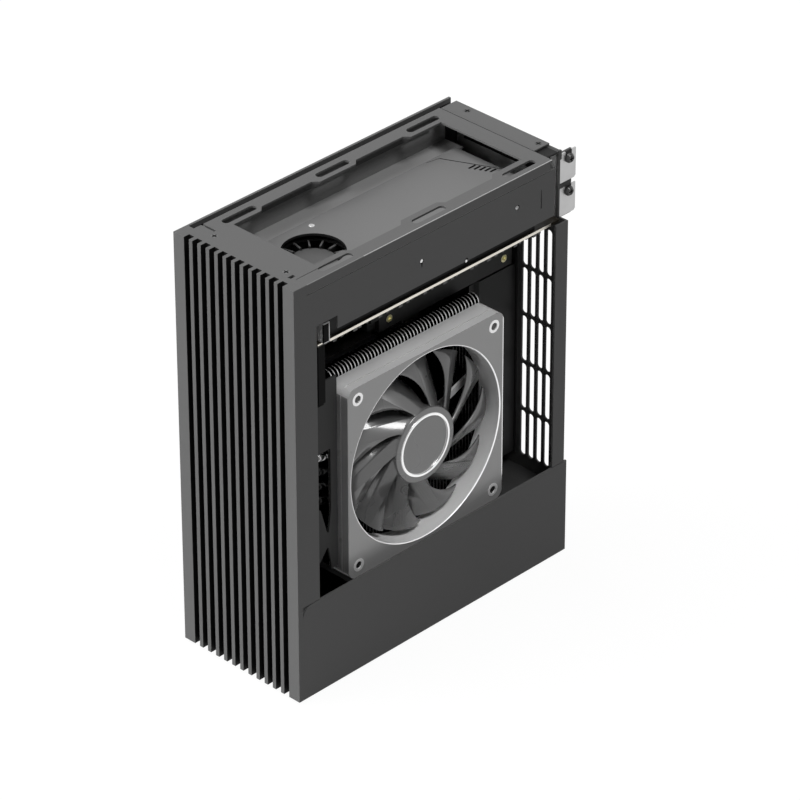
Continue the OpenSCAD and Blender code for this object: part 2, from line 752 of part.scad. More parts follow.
module fin_stack() {
    y0 = fan_y - (fin_count - 1) * fin_pitch / 2;
    place() color("#2b2b2d") {
        difference() {
            for (i = [0 : fin_count - 1])
                along_y(y0 + i * fin_pitch - 0.25, 0.5) translate([0, fan_z]) fin_outline();
            for (i = [0 : pipe_count - 1])
                rod_y(pipe_high, y0 - 3, pipe_z(i), fin_count * fin_pitch + 6, pipe_r + 0.01);
            // wider holes where the pipes start to bend, and holes for the fan's screws
            for (i = [0 : pipe_count - 1])
                rod_y(pipe_high - 0.5, y0 - 3, pipe_z(i), 6.4, pipe_r + 0.8);
            for (y = [-1, 1], z = [-1, 1])
                rod_x(fan_x0 - 3.5, fan_y + y * fan_hole_pitch / 2, fan_z + z * fan_hole_pitch / 2, 5, 1.75);
        }
        // folded tabs that lock fin to fin
        for (z = [-38, 38])
            slab([fin_x0, fin_x0 + 0.5], [y0, y0 + (fin_count - 1) * fin_pitch],
                 [fan_z + z - 3, fan_z + z + 3]);
    }
}

module fan_frame() {
    corner_r = 6;
    place() color("#b4b5b6") translate([0, fan_y, fan_z]) {
        difference() {
            union() {
                along_x(fan_x0, fan_t) round_plate(fan_size, fan_size, corner_r);
            }
            rod_x(fan_x0 - 1, 0, 0, fan_t + 2, fan_mouth_r);
            // narrow bevel round the mouth
            translate([fan_x1 - 0.4, 0, 0]) rotate([0, 90, 0])
                cylinder(h = 0.401, r1 = fan_mouth_r, r2 = fan_mouth_r + 0.4);
            for (y = [-1, 1], z = [-1, 1])
                rod_x(fan_x0 - 1, y * fan_hole_pitch / 2, z * fan_hole_pitch / 2, fan_t + 2, 2.2);
            for (y = [-1, 1], z = [-1, 1])
                rod_x(fan_x1 - 1, y * fan_hole_pitch / 2, z * fan_hole_pitch / 2, 2, 3.9);
            // waist groove round the frame, between the two mounting flanges
            difference() {
                slab([fan_x0 + 9.4, fan_x0 + 10], [-70, 70], [-70, 70]);
                slab([fan_x0 + 9, fan_x0 + 11], [-59.3, 59.3], [-59.3, 59.3]);
            }
        }
        // motor seat, its four struts and the bearing tube
        difference() {
            union() {
                rod_x(fan_x0, 0, 0, 1.6, hub_r - 1);
                rod_x(fan_x0, 0, 0, 8.5, 3.6);
                for (a = [20 : 90 : 290]) rotate([a, 0, 0])
                    slab([fan_x0, fan_x0 + 1.6], [10, fan_mouth_r + 0.6], [-2, 2]);
            }
            rod_x(fan_x0 + 0.8, 0, 0, 10, shaft_r + run_gap);
        }
    }
}

// One blade in the fan's own frame: u outwards, v the way it turns, height along the axis
module blade_outline() {
    intersection() {
        difference() {
            translate([18.8, 38.6]) circle(r = 45);
            translate([0.3, 38]) circle(r = 40);
        }
        difference() {
            circle(r = tip_r);
            circle(r = hub_r - 2);
        }
        translate([0, -20]) square([70, 90]);
    }
}

module blade(h) {
    sweep = 40;
    bow_r = 22;
    intersection() {
        linear_extrude(h) blade_outline();
        translate([36, 10, 0]) rotate(sweep) translate([0, 9, -10.5]) rotate([0, 90, 0])
            difference() {
                cylinder(h = 120, r = bow_r, center = true);
                cylinder(h = 122, r = bow_r - 1.5, center = true);
            }
    }
}

module fan_rotor() {
    h = 11.6;
    place() color("#5a5b5d") translate([fan_x0 + 2.2, fan_y, fan_z]) rotate([90, 0, 90]) {
        difference() {
            union() {
                // cup-shaped hub with a flat rim and a narrow raised ring
                translate([0, 0, 0.4]) cylinder(h = h - 0.6, r = hub_r);
                translate([0, 0, h - 0.2]) cylinder(h = 0.4, r1 = hub_r, r2 = hub_r - 0.4);
                translate([0, 0, h]) cylinder(h = 0.6, r = ring_r);
                for (i = [0 : blade_count - 1]) rotate(i * 360 / blade_count) blade(h);
            }
            translate([0, 0, h - 0.3]) cylinder(h = 1.2, r = ring_r - 1.3);
            translate([0, 0, -1]) cylinder(h = h - 1, r = hub_r - 2.2);
        }
        translate([0, 0, -1.2]) cylinder(h = h - 0.4, r = shaft_r);
        translate([0, 0, 6.8]) cylinder(h = 3.5, r = 5);
    }
}

module fan_rings() {
    place() color("white") for (y = [-1, 1], z = [-1, 1])
        translate([fan_x1 - 1, fan_y + y * fan_hole_pitch / 2, fan_z + z * fan_hole_pitch / 2])
            rotate([0, 90, 0]) difference() {
                cylinder(h = 1.15, r = 3.88);
                translate([0, 0, -1]) cylinder(h = 4, r = 2.2);
            }
}

module fan_screws() {
    place() color("#777777") for (y = [-1, 1], z = [-1, 1])
        translate([fan_x0 - 3, fan_y + y * fan_hole_pitch / 2, fan_z + z * fan_hole_pitch / 2])
            rotate([0, 90, 0]) {
                cylinder(h = fan_t + 1.6, r = 1.7);
                translate([0, 0, fan_t + 1.59]) cylinder(h = 1, r = 2.1);
            }
}

// Graphics card, lying on its side above the cooler with its fan up

module gpu_board() {
    place() color("#15110d") difference() {
        union() {
            slab([shroud_x0 + 1.8, card_x1], [card_y0, rear_in - 1], [card_z0, card_z0 + card_t]);
            slab([board_x + 2.6, shroud_x0 + 2], [-29, 56], [card_z0, card_z0 + card_t]);
        }
        slab([board_x, shroud_x0 - 2], [-19, -17.2], [card_z0 - 1, card_z0 + 3]);
        for (y = [-70, 20, 78]) rod_z(33, y, card_z0 - 1, 4, 1.4);
    }
}

module gpu_heatsink() {
    z0 = card_z0 + card_t;
    place() color("#3a3b3d") {
        slab([-18, 35], [-18, 78], [z0, z0 + 5]);
        for (i = [0 : 17]) slab([-18 + i * 3, -17 + i * 3], [-18, 78], [z0 + 4.9, shroud_top - 3]);
    }
}

module shroud_vents() {
    for (i = [0 : 4]) translate([0.2 + i * 2.74, 70.6 + i * 1.34])
        square([1.4, 5.4 - i * 0.12]);
}

module gpu_shroud() {
    place() color("#808080") difference() {
        union() {
            difference() {
                slab([shroud_x0, shroud_x1], [shroud_y0, shroud_y1], [card_z0 + card_t, shroud_top]);
                slab([shroud_x0 + shroud_t, shroud_x1 - shroud_t], [shroud_y0 + shroud_t, shroud_y1 + 1],
                    [card_z0, shroud_top - shroud_t]);
            }
        }
        rod_z(intake_x, intake_y, shroud_top - 4, 6, intake_r);
        translate([0, 0, shroud_top - 3]) linear_extrude(4) shroud_vents();
        // bevel along the left and front edges
        translate([shroud_x0, 0, shroud_top]) rotate([0, 45, 0]) cube([1.4, 400, 1.4], center = true);
        // parting line near the rear
        translate([-19.9, 59.2, shroud_top - 0.4]) rotate(78.7) slab([0, 8.7], [-0.2, 0.2], [0, 2]);
        translate([-18.2, 67.7, shroud_top - 0.8]) rotate(25.2) slab([0, 36.6], [-0.4, 0.4], [0, 2]);
        // room for the socket on the mainboard
        slab([shroud_x0 - 1, -20.2], [-32, 59], [card_z0, 217.4]);
        rod_z(-15.8, -32.3, shroud_top - 2, 3, 1.6);
    }
}

module blower_motor() {
    place() color(black) translate([intake_x, intake_y, card_z0 + card_t]) difference() {
        union() {
            cylinder(h = 2, r = 14);
            cylinder(h = 12, r = 3.4);
            translate([0, 0, 1.9]) cylinder(h = 8, r = 9);
        }
        translate([0, 0, 1]) cylinder(h = 20, r = 1 + run_gap);
    }
}

module blower_rotor() {
    h = blower_top - blower_base;
    place() color(black) translate([intake_x, intake_y, blower_base]) {
        difference() {
            union() {
                cylinder(h = h, r = blower_hub_r);
                cylinder(h = 1.2, r = blower_r);
                for (i = [0 : blower_blades - 1]) rotate(i * 360 / blower_blades)
                    translate([blower_hub_r - 0.7, -0.4, 0.5])
                        cube([blower_r - blower_hub_r - 0.3, 0.8, h + 0.9]);
                difference() {
                    translate([0, 0, h + 0.6]) cylinder(h = 1.3, r = blower_r);
                    translate([0, 0, h]) cylinder(h = 3, r = blower_r - 3.4);
                }
            }
            translate([0, 0, -1]) cylinder(h = h - 0.6, r = blower_hub_r - 1.6);
        }
        translate([0, 0, -3]) cylinder(h = h + 2.4, r = 1);
    }
}

module gpu_ports() {
    z0 = card_z0 + card_t;
    place() color("#9da0a2") for (x = port_x) difference() {
        slab([x, x + 17], [86, rear_out + 0.2], [z0, z0 + 6.6]);
        difference() {
            slab([x + 1.2, x + 15.8], [92, rear_out + 2], [z0 + 0.8, z0 + 5.8]);
            slab([x + 3, x + 14], [91, rear_out - 1], [z0 + 2.6, z0 + 4]);
        }
    }
}

module gpu_bracket() {
    z0 = card_z0 + card_t;
    place() color(silver) {
        difference() {
            slab([-36.6, tab_x1], [rear_in - 1, rear_in - 0.05], [212.3, 253]);
            // port windows in the lower slot and vents in the upper one
            for (x = port_x) slab([x - 0.2, x + 17.2], [90, 110], [z0 - 0.2, z0 + 6.8]);
            for (i = [0 : 8]) translate([-30 + i * 7, 0, 0])
                along_y(90, 20) translate([0, 243.7]) rotate(90) round_slot(11.4, 4.4);
        }
        for (i = [0, 1]) difference() {
            slab([tab_x1 - tab_t, tab_x1], [rear_in - 1, back_y + tab_out],
                [212 + i * 20.6, 229.3 + i * 21.3]);
            // slot for the screw, open upwards
            rod_x(30, 111.4, 226.1 + i * slot_gap, 10, 2.5);
            slab([30, 40], [108.9, 113.9], [226.1 + i * slot_gap, 240 + i * slot_gap]);
            // cut lower outer corner
            translate([30, back_y + tab_out, 212 + i * 20.6]) rotate([45, 0, 0])
                translate([0, -0.8, -0.8]) cube([20, 1.6, 1.6]);
        }
    }
}

module slot_screws() {
    place() color(black) for (i = [0, 1])
        translate([tab_x1, 111.4, 226.1 + i * slot_gap]) rotate([0, 90, 0]) pan_screw(2.9, 2.3, 1.4, 5);
}

module gpu_stay() {
    place() color(black) {
        slab([36.6, 39.6], [-83, -78], [176, card_z0]);
        slab([35.2, 38.2], [-83, -78], [174, 177]);
        // small angle on the card's front corner
        slab([34, 42], [-81.1, -80.1], [card_z0 + card_t, 226]);
        slab([41, 42], [-80.6, -76.7], [card_z0 + card_t, 226]);
    }
}

// Power supply

module psu_grille(cz) {
    difference() {
        rod_y(psu_fan_x, rear_in - 2, cz, 4, psu_fan_r);
        for (r = [3.6, 8.4, 13.2]) difference() {
            rod_y(psu_fan_x, rear_in - 1.2, cz, 3, r + 0.6);
            rod_y(psu_fan_x, rear_in - 2, cz, 5, r - 0.6);
        }
        for (a = [0, 90]) translate([psu_fan_x, rear_in - 0.6, cz]) rotate([0, a, 0])
            cube([2 * psu_fan_r + 1, 1.2, 1.2], center = true);
    }
}

module psu_housing() {
    cz = psu_z0 + psu_h / 2;
    t = 1.2;
    place() color("#3c3c3e") difference() {
        slab([psu_x0, psu_x0 + psu_w], [psu_y0, rear_in], [psu_z0, psu_z0 + psu_h]);
        // hollow inside, but for the fan's duct and the screw bosses
        difference() {
            slab([psu_x0 + t, psu_x0 + psu_w - t], [psu_y0 + t, rear_in - t],
                [psu_z0 + t, psu_z0 + psu_h - t]);
            difference() {
                rod_y(psu_fan_x, rear_in - 20, cz, 20, psu_fan_r + 1.2);
                rod_y(psu_fan_x, rear_in - 16, cz, 20, psu_fan_r);
            }
            for (x = [-35, 4], z = [-15.5, 15.5]) rod_y(x, rear_in - 9, cz + z, 9, 2.9);
        }
        rod_y(psu_fan_x, rear_in - 16, cz, 14.8, psu_fan_r);
        psu_grille(cz);
        // air ways through the duct's floor, between the motor seat and the duct
        for (a = [0 : 90 : 270]) translate([psu_fan_x, rear_in - 21, cz]) rotate([0, a + 45, 0])
            slab([9.5, 15.5], [0, 6], [-5, 5]);
        // seat for the inlet and the rocker
        slab([inlet_x - 14.6, inlet_x + 14.6], [rear_in - 20, rear_in + 1], [4.8, 39.8]);
        // cable mouth at the front end
        slab([-20, 20], [psu_y0 - 1, psu_y0 + 4], [psu_z0 + 8, psu_z0 + 30]);
        rod_y(psu_fan_x, rear_in - 19.6, cz, 5, 1 + run_gap);
        for (x = [-35, 4], z = [-15.5, 15.5]) rod_y(x, rear_in - 6, cz + z, 7, 1.4);
    }
}

module psu_fan_rotor() {
    cz = psu_z0 + psu_h / 2;
    place() color(black) translate([psu_fan_x, rear_in - 14.5, cz]) rotate([-90, 0, 0]) {
        translate([0, 0, -0.4]) cylinder(h = 10.8, r = 7.4);
        translate([0, 0, -5]) cylinder(h = 6, r = 1);
        for (i = [0 : 6]) rotate(i * 360 / 7) intersection() {
            cylinder(h = 10, r = psu_fan_r - 0.8);
            translate([12.5, 0, 5]) rotate([38, 0, 0]) cube([13, 13, 1], center = true);
        }
    }
}

rocker_y = rear_out - 1.5;
rocker_z = 32.8;

module psu_inlet() {
    cz = 15;
    place() color(black) {
        difference() {
            slab([inlet_x - 14.4, inlet_x + 14.4], [rear_in - 19, rear_out + 1.2], [5, 39.6]);
            slab([inlet_x - 12.1, inlet_x + 12.1], [rear_in - 14, rear_out + 3], [cz - 8.2, cz + 8.2]);
            // well for the rocker and bores for its pins
            slab([inlet_x - 9.2, inlet_x + 9.2], [rocker_y - 7, rear_out + 3],
                 [rocker_z - 5.3, rocker_z + 5.3]);
            rod_z(inlet_x, rocker_y, rocker_z - 6.4, 12.8, 1 + run_gap);
        }
        for (p = [[-7, -1.6], [0, 2.4], [7, -1.6]])
            slab([inlet_x + p[0] - 1, inlet_x + p[0] + 1], [rear_in - 14.5, rear_out - 0.6],
                [cz + p[1] - 2, cz + p[1] + 2]);
    }
}

module psu_rocker() {
    place() color(black) translate([inlet_x, rocker_y, rocker_z]) {
        translate([0, 0, -5]) linear_extrude(10)
            polygon([[-8.2, -3], [8.2, -3], [8.4, 2], [0, 3.2], [-8.4, 5.2]]);
        translate([0, 0, -6.1]) cylinder(h = 12.2, r = 1);
    }
}

module psu_screws() {
    place() color(silver) for (x = [-35, 4], z = [-15.5, 15.5])
        translate([x, rear_out, psu_z0 + psu_h / 2 + z]) rotate([-90, 0, 0]) pan_screw(2.3, 1.8, 1.35, 6);
}

front_panel();
top_frame();
right_side_frame();
left_side_panel();
rear_wall();
board_tray();
front_wall();
bottom_plate();
lower_side_cover();
rubber_feet();
case_screws();
power_button();
button_housing();
mainboard();
board_standoffs();
board_screws();
cpu_socket();
processor();
memory_slots();
memory_stick_a();
memory_stick_b();
board_power_socket();
card_slot();
io_shield();
usb_ports();
network_port();
video_ports();
audio_jacks();
io_cover();
drive_cover();
cover_screws();
cooler_bracket();
cooler_base();
heat_pipes();
fin_stack();
fan_frame();
fan_rotor();
fan_rings();
fan_screws();
gpu_board();
gpu_heatsink();
gpu_shroud();
blower_motor();
blower_rotor();
gpu_ports();
gpu_bracket();
slot_screws();
gpu_stay();
psu_housing();
psu_fan_rotor();
psu_inlet();
psu_rocker();
psu_screws();
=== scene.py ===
# %% [markdown]
# A small upright computer case stands open: the top cover and the right side cover are off, and
# the cooler, the graphics card and the rear vents show. The model's solids come from the packed
# part, so this file finishes them: it gives each one its real surface, adds the small things that
# solids leave out, and sets up a plain studio. Blender works in metres. Limits and sizes are
# written in millimetres where that reads better, and MM turns them into metres. The slotted front
# faces -Y, the open side faces +X, and the feet stand on z = 0.

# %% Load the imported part
import math

import bmesh
import bpy
from mathutils import Matrix, Vector


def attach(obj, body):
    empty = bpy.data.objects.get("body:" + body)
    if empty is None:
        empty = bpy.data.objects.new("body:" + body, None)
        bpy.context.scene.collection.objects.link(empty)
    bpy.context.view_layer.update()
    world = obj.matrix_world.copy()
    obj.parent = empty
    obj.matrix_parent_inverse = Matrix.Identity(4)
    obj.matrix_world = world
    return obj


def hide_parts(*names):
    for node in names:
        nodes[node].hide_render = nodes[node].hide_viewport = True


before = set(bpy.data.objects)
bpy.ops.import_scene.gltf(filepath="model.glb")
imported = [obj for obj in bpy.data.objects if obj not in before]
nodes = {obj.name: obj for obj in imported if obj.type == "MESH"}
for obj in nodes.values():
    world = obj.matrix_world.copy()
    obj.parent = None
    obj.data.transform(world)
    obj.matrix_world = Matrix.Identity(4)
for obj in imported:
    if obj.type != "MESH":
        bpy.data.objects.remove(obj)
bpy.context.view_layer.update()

MM = 0.001
print("nodes loaded:", len(nodes))

# %% [markdown]
# The photograph looks down on the case's front right corner through a long lens. The camera's
# place was solved from the case's own right angles. It is written as a point, the direction that
# points back from the picture, and two angles that settle which way is right and which is up. A
# camera in Blender looks along its own -Z axis, which is why one direction points backwards.

# %% Camera
CAMERA_POINT = Vector((1.61960, -1.64117, 1.54850))
CAMERA_BACK = Vector((0.59547641, -0.60788491, 0.5252464))
CAMERA_AZIMUTH = math.radians(44.409)
CAMERA_ROLL = math.radians(-0.122)
LENS, SENSOR = 223.87, 36
NEAREST, FARTHEST = 0.05, 60


def camera_turn():
    """The camera's three directions as the columns of a turn."""
    level_right = Vector((math.cos(CAMERA_AZIMUTH), math.sin(CAMERA_AZIMUTH), 0))
    level_up = CAMERA_BACK.cross(level_right)
    right = level_right * math.cos(CAMERA_ROLL) + level_up * math.sin(CAMERA_ROLL)
    up = CAMERA_BACK.cross(right)
    return Matrix((right, up, CAMERA_BACK)).transposed()


camera_data = bpy.data.cameras.new("studio_camera")
camera_data.lens = LENS
camera_data.sensor_width = SENSOR
camera_data.clip_start = NEAREST
camera_data.clip_end = FARTHEST
camera = bpy.data.objects.new("studio_camera", camera_data)
bpy.context.scene.collection.objects.link(camera)
camera.rotation_mode = "QUATERNION"
camera.location = CAMERA_POINT
camera.rotation_quaternion = camera_turn().to_quaternion()
bpy.context.scene.camera = camera
bpy.context.scene.view_settings.view_transform = "Standard"
print("camera at", tuple(round(v, 3) for v in camera.location))

# %% [markdown]
# Every finish is a small node tree on Principled BSDF, and they all start the same way: plain
# numbers set straight on the shader's sockets, and one Texture Coordinate node whose Object
# output is the place of a point on the part. The helpers below make that start and join maths
# nodes, so that the finishes stay short.

# %% Start of a finish
NUMBERS = "ShaderNodeMath"
VECTORS = "ShaderNodeVectorMath"
COAT_ROUGHNESS = 0.1


def grey(tone):
    return (tone, tone, tone)


def start(name, colour, rough, metal=0.0, level=0.5, coat=0.0):
    """A Principled material with plain numbers, and the place of a point on the part."""
    made = bpy.data.materials.new(name)
    made.use_nodes = True
    tree = made.node_tree
    shader = tree.nodes["Principled BSDF"]
    shader.inputs["Base Color"].default_value = (*colour, 1)
    shader.inputs["Roughness"].default_value = rough
    shader.inputs["Metallic"].default_value = metal
    shader.inputs["Specular IOR Level"].default_value = level
    shader.inputs["Coat Weight"].default_value = coat
    shader.inputs["Coat Roughness"].default_value = COAT_ROUGHNESS
    place = tree.nodes.new("ShaderNodeTexCoord")
    return made, tree, shader, place.outputs["Object"]


def step(tree, kind, operation, *inputs):
    """Adds one maths node, feeds its inputs with sockets or plain values, gives its output."""
    made = tree.nodes.new(kind)
    made.operation = operation
    for socket, value in zip(made.inputs, inputs):
        if hasattr(value, "links"):
            tree.links.new(value, socket)
        else:
            socket.default_value = value
    return made.outputs["Value" if operation == "LENGTH" else 0]


def both(tree, first, second):
    return step(tree, NUMBERS, "MULTIPLY", first, second)


def either(tree, first, second):
    return step(tree, NUMBERS, "MAXIMUM", first, second)


print("a clear coat has a roughness of", COAT_ROUGHNESS)

# %% [markdown]
# A moulded rotor has a pale ring on a dark hub, which is its own colour, but most patches here are
# painted light and shade: painted shade in recesses and inside the case, painted highlights on
# edges. The solid stays as it is, so the material finds such a place by its coordinates. A box
# zone is 1 inside a box and 0 outside. A ring zone is 1 between two radii about an axis. Both fade
# over a tenth of a millimetre, which keeps their edges crisp. Most patches are boxes with a grey
# of their own, so a table can hold them.

# %% Zones in object coordinates
HALF_FADE = 0.00005


def fade(tree, distance):
    """1 where a distance is below zero, 0 where it is above."""
    ramp = tree.nodes.new("ShaderNodeMapRange")
    ramp.inputs["From Min"].default_value = HALF_FADE
    ramp.inputs["From Max"].default_value = -HALF_FADE
    tree.links.new(distance, ramp.inputs["Value"])
    return ramp.outputs["Result"]


def box_zone(tree, place, x, y, z):
    """A box between limits in millimetres."""
    low, high = (Vector(corner) * MM for corner in zip(x, y, z))
    offset = step(tree, VECTORS, "SUBTRACT", place, (low + high) / 2)
    size = step(tree, VECTORS, "ABSOLUTE", offset)
    over = step(tree, VECTORS, "SUBTRACT", size, (high - low) / 2)
    parts = tree.nodes.new("ShaderNodeSeparateXYZ")
    tree.links.new(over, parts.inputs["Vector"])
    widest = either(tree, parts.outputs["X"], parts.outputs["Y"])
    return fade(tree, either(tree, widest, parts.outputs["Z"]))


def ring_zone(tree, place, axis, centre, radii):
    """A ring or disc about an axis through a point, in millimetres."""
    keep = Vector([0.0 if name == axis else 1.0 for name in "xyz"])
    offset = step(tree, VECTORS, "SUBTRACT", place, Vector(centre) * MM)
    flat = step(tree, VECTORS, "MULTIPLY", offset, keep)
    radius = step(tree, VECTORS, "LENGTH", flat)
    middle = sum(radii) / 2 * MM
    half = (radii[1] - radii[0]) / 2 * MM
    offset = step(tree, NUMBERS, "SUBTRACT", radius, middle)
    size = step(tree, NUMBERS, "ABSOLUTE", offset)
    return fade(tree, step(tree, NUMBERS, "SUBTRACT", size, half))


def patches(tree, place, table):
    """Pairs of a zone and a tone, from rows of x, y and z limits and the tone between them."""
    return [(box_zone(tree, place, x, y, z), tone) for x, y, z, tone in table]


print("zone edges fade over", 2 * HALF_FADE / MM, "mm")

# %% [markdown]
# The next helpers put things into a finish. Grain is fine noise through a bump, for powder coat.
# Tint lets the colour wander a little, as paint and plastic do, and then lays each zone's own
# grey over it. Wear does the same for roughness, so that highlights break up. Noise hardly ever
# leaves the middle half of its range, so that half is stretched over the values wanted. A Mix
# node has sockets for every kind of value, and its colour sockets are found by their numbers.

# %% Grain, tint and wear
NOISE_LOW, NOISE_HIGH = 0.25, 0.75
MIX_UNDER, MIX_OVER, MIX_RESULT = 6, 7, 2


def noise(tree, place, scale, detail=2.0):
    made = tree.nodes.new("ShaderNodeTexNoise")
    made.inputs["Scale"].default_value = scale
    made.inputs["Detail"].default_value = detail
    tree.links.new(place, made.inputs["Vector"])
    return made.outputs["Fac"]


def grain(tree, shader, place, scale, height):
    bump = tree.nodes.new("ShaderNodeBump")
    bump.inputs["Strength"].default_value = 1.0
    bump.inputs["Distance"].default_value = height
    tree.links.new(noise(tree, place, scale, detail=3.0), bump.inputs["Height"])
    tree.links.new(bump.outputs["Normal"], shader.inputs["Normal"])


def vary(tree, place, scale, low, high):
    """Noise stretched to run between two values."""
    ramp = tree.nodes.new("ShaderNodeMapRange")
    ramp.inputs["From Min"].default_value = NOISE_LOW
    ramp.inputs["From Max"].default_value = NOISE_HIGH
    ramp.inputs["To Min"].default_value = low
    ramp.inputs["To Max"].default_value = high
    tree.links.new(noise(tree, place, scale), ramp.inputs["Value"])
    return ramp.outputs["Result"]


def tint(tree, shader, place, colour, scale, spread, zones=()):
    """Colour that wanders by a share of itself, with zones of other greys laid over it."""
    made = tree.nodes.new("ShaderNodeVectorMath")
    made.operation = "SCALE"
    made.inputs[0].default_value = colour
    tree.links.new(vary(tree, place, scale, 1 - spread, 1 + spread), made.inputs["Scale"])
    result = made.outputs["Vector"]
    for zone, tone in zones:
        mix = tree.nodes.new("ShaderNodeMix")
        mix.data_type = "RGBA"
        mix.inputs[MIX_OVER].default_value = (*grey(tone), 1)
        tree.links.new(zone, mix.inputs["Factor"])
        tree.links.new(result, mix.inputs[MIX_UNDER])
        result = mix.outputs[MIX_RESULT]
    tree.links.new(result, shader.inputs["Base Color"])


def wear(tree, shader, place, scale, low, high):
    tree.links.new(vary(tree, place, scale, low, high), shader.inputs["Roughness"])


print("noise is stretched from", NOISE_LOW, "to", NOISE_HIGH)

# %% [markdown]
# The case is bent from thin aluminium and steel sheet and powder coated in a soft dark grey. The
# coat has a fine, dry grain and almost no gloss. The front panel is one extrusion with twelve
# deep channels, and the channels read as black lines. A patch of painted shade darkens their sides
# and floors, and leaves the ribs' front and top faces in the coat's own colour. On the top plate
# thin patches of painted highlight brighten the edges that catch the light, and a patch of painted
# shade darkens the left skin's inner face, down in the groove behind it.

# %% Powder coat of the outer case, with painted shade and painted highlights
COAT = 0.12
GRAIN_SCALE, GRAIN_HEIGHT = 2600, 0.00002
# painted shade: near black on the channels' sides and floors
CHANNEL_SHADE = (((-36.8, 36.8), (-111.12, -107.05), (-5, 258.64), 0.006),)
# painted highlights on the edges of the top plate
TOP_EDGE_HIGHLIGHTS = (
    ((44.5, 45), (-100, 90), (252.6, 252.85), 0.3),  # lower edge of the side lip
    ((44.35, 45), (-60, 90), (258.35, 259), 0.5),  # fold along the open side
    ((44.35, 45), (-108, -60), (258.35, 259), 0.24),  # front end of that fold
)
# painted shade on the left skin's inner face, down in the groove
SKIN_GROOVE_SHADE = (((-43.25, -30), (-120, 120), (0, 256.0), 0.01),)


def give(material, names):
    """Puts one material on all of each named node."""
    for name in names.split():
        slots = nodes[name].data.materials
        slots.clear()
        slots.append(material)
    print(material.name, "on", names)


def powder(name, table=(), tone=COAT):
    """Powder coat in a tone, with the patches of a table."""
    made, tree, shader, place = start(name, grey(tone), 0.55, level=0.12)
    grain(tree, shader, place, GRAIN_SCALE, GRAIN_HEIGHT)
    tint(tree, shader, place, grey(tone), 9, 0.025, patches(tree, place, table))
    return made


give(powder("front_panel_coat", CHANNEL_SHADE), "front_panel")
give(powder("case_coat"), "lower_side_cover")
give(powder("top_plate_coat", TOP_EDGE_HIGHLIGHTS), "top_frame")
give(powder("skin_coat", SKIN_GROOVE_SHADE), "left_side_panel")

# %% [markdown]
# Inside the case the sheets are painted darker, as painted shade. The upper side wall and front
# column are one folded sheet, and its patch of painted shade stops just short of the outer face.
# The rear sheet is painted darker too, as painted shade, all over but for its outer column and its
# top flange, and near black behind the card. The board tray is painted a lighter grey to make up
# for how little light reaches it, with a paler ledge beside the card, and painted shade near the
# rear wall and on its outer face towards the groove.

# %% Painted shade and painted light inside the case
# painted shade: the darker grey of the sheets inside the case
INNER_SHADE = 0.05
SIDE_INSIDE_SHADE = (((20, 43.3), (-120, 120), (0, 300), INNER_SHADE),)
REAR_PATCHES = (
    ((43.4, 46), (80, 100), (50, 220), COAT),  # outer column
    ((-46, 46), (80, 100), (257.2, 260), COAT),  # top flange
    # painted shade, near black, on the inner face behind the card
    ((-39, 39), (80, 94.9), (225, 257), 0.015),  # inner face behind the card
)
TRAY_PATCHES = (
    ((-38, -20), (-120, 120), (236, 239), 0.34),  # ledge beside the card
    # painted shade in the next two rows
    ((-39, 41), (87, 100), (225, 256), 0.01),  # last part before the rear wall
    ((-41, -39.35), (-120, 120), (0, 260), 0.01),  # outer face, towards the groove
)

give(powder("side_frame_coat", SIDE_INSIDE_SHADE), "right_side_frame")
# the rear sheet's grey of 0.085 is painted shade
give(powder("rear_sheet_coat", REAR_PATCHES, 0.085), "rear_wall")
# the tray's grey of 0.25 is painted lighter, as painted light
give(powder("tray_coat", TRAY_PATCHES, 0.25), "board_tray")
give(powder("inner_shade_coat", tone=INNER_SHADE), "front_wall bottom_plate")

# %% [markdown]
# The graphics card wears a moulded shroud in satin grey. Painted shade darkens its side towards
# the opening, the wall round its intake, and the grooves and vents near its rear end. Under the
# intake turns a blower: a flat grey hub on black, and thin vane edges painted pale as painted
# highlights. A disc and a box together colour only the part of the disc between two heights.

# %% Shroud and blower
INTAKE = (3.2, -55.7, 240.0)
INTAKE_WALL, BLOWER_HUB, BLOWER_VANES = (0, 17.9), (0, 12.95), (13.0, 19.3)
BELOW_TOP_FACE = ((-60, 60), (-120, 120), (200, 243.9))
SHROUD_PATCHES = (
    # painted shade in the grooves and vents and on the side towards the opening
    ((-30, 37), (48, 84), (238, 243.85), 0.008),  # grooves and vents
    ((38.2, 39), (-120, 120), (200, 243.9), 0.02),  # side towards the opening
)
HUB_TOP = ((-40, 60), (-120, 0), (237.4, 238.2))
VANE_EDGES = ((-40, 60), (-120, 0), (238.35, 239.0))
SHROUD, BLOWER = 0.17, 0.012


def shroud_plastic():
    made, tree, shader, place = start("shroud_plastic", grey(SHROUD), 0.5, level=0.12)
    grain(tree, shader, place, 3000, 0.00001)
    disc = ring_zone(tree, place, "z", INTAKE, INTAKE_WALL)
    wall = both(tree, disc, box_zone(tree, place, *BELOW_TOP_FACE))
    # the intake wall's near black is painted shade
    zones = [(wall, 0.015)] + patches(tree, place, SHROUD_PATCHES)
    tint(tree, shader, place, grey(SHROUD), 12, 0.02, zones)
    return made


def blower_plastic():
    made, tree, shader, place = start("blower_plastic", grey(BLOWER), 0.4, level=0.4)
    hub = both(tree, ring_zone(tree, place, "z", INTAKE, BLOWER_HUB),
               box_zone(tree, place, *HUB_TOP))
    # the vane edges' pale grey is a painted highlight
    vanes = both(tree, ring_zone(tree, place, "z", INTAKE, BLOWER_VANES),
                 box_zone(tree, place, *VANE_EDGES))
    tint(tree, shader, place, grey(BLOWER), 40, 0.1, [(vanes, 0.2), (hub, 0.085)])
    return made


give(shroud_plastic(), "gpu_shroud")
give(blower_plastic(), "blower_rotor")

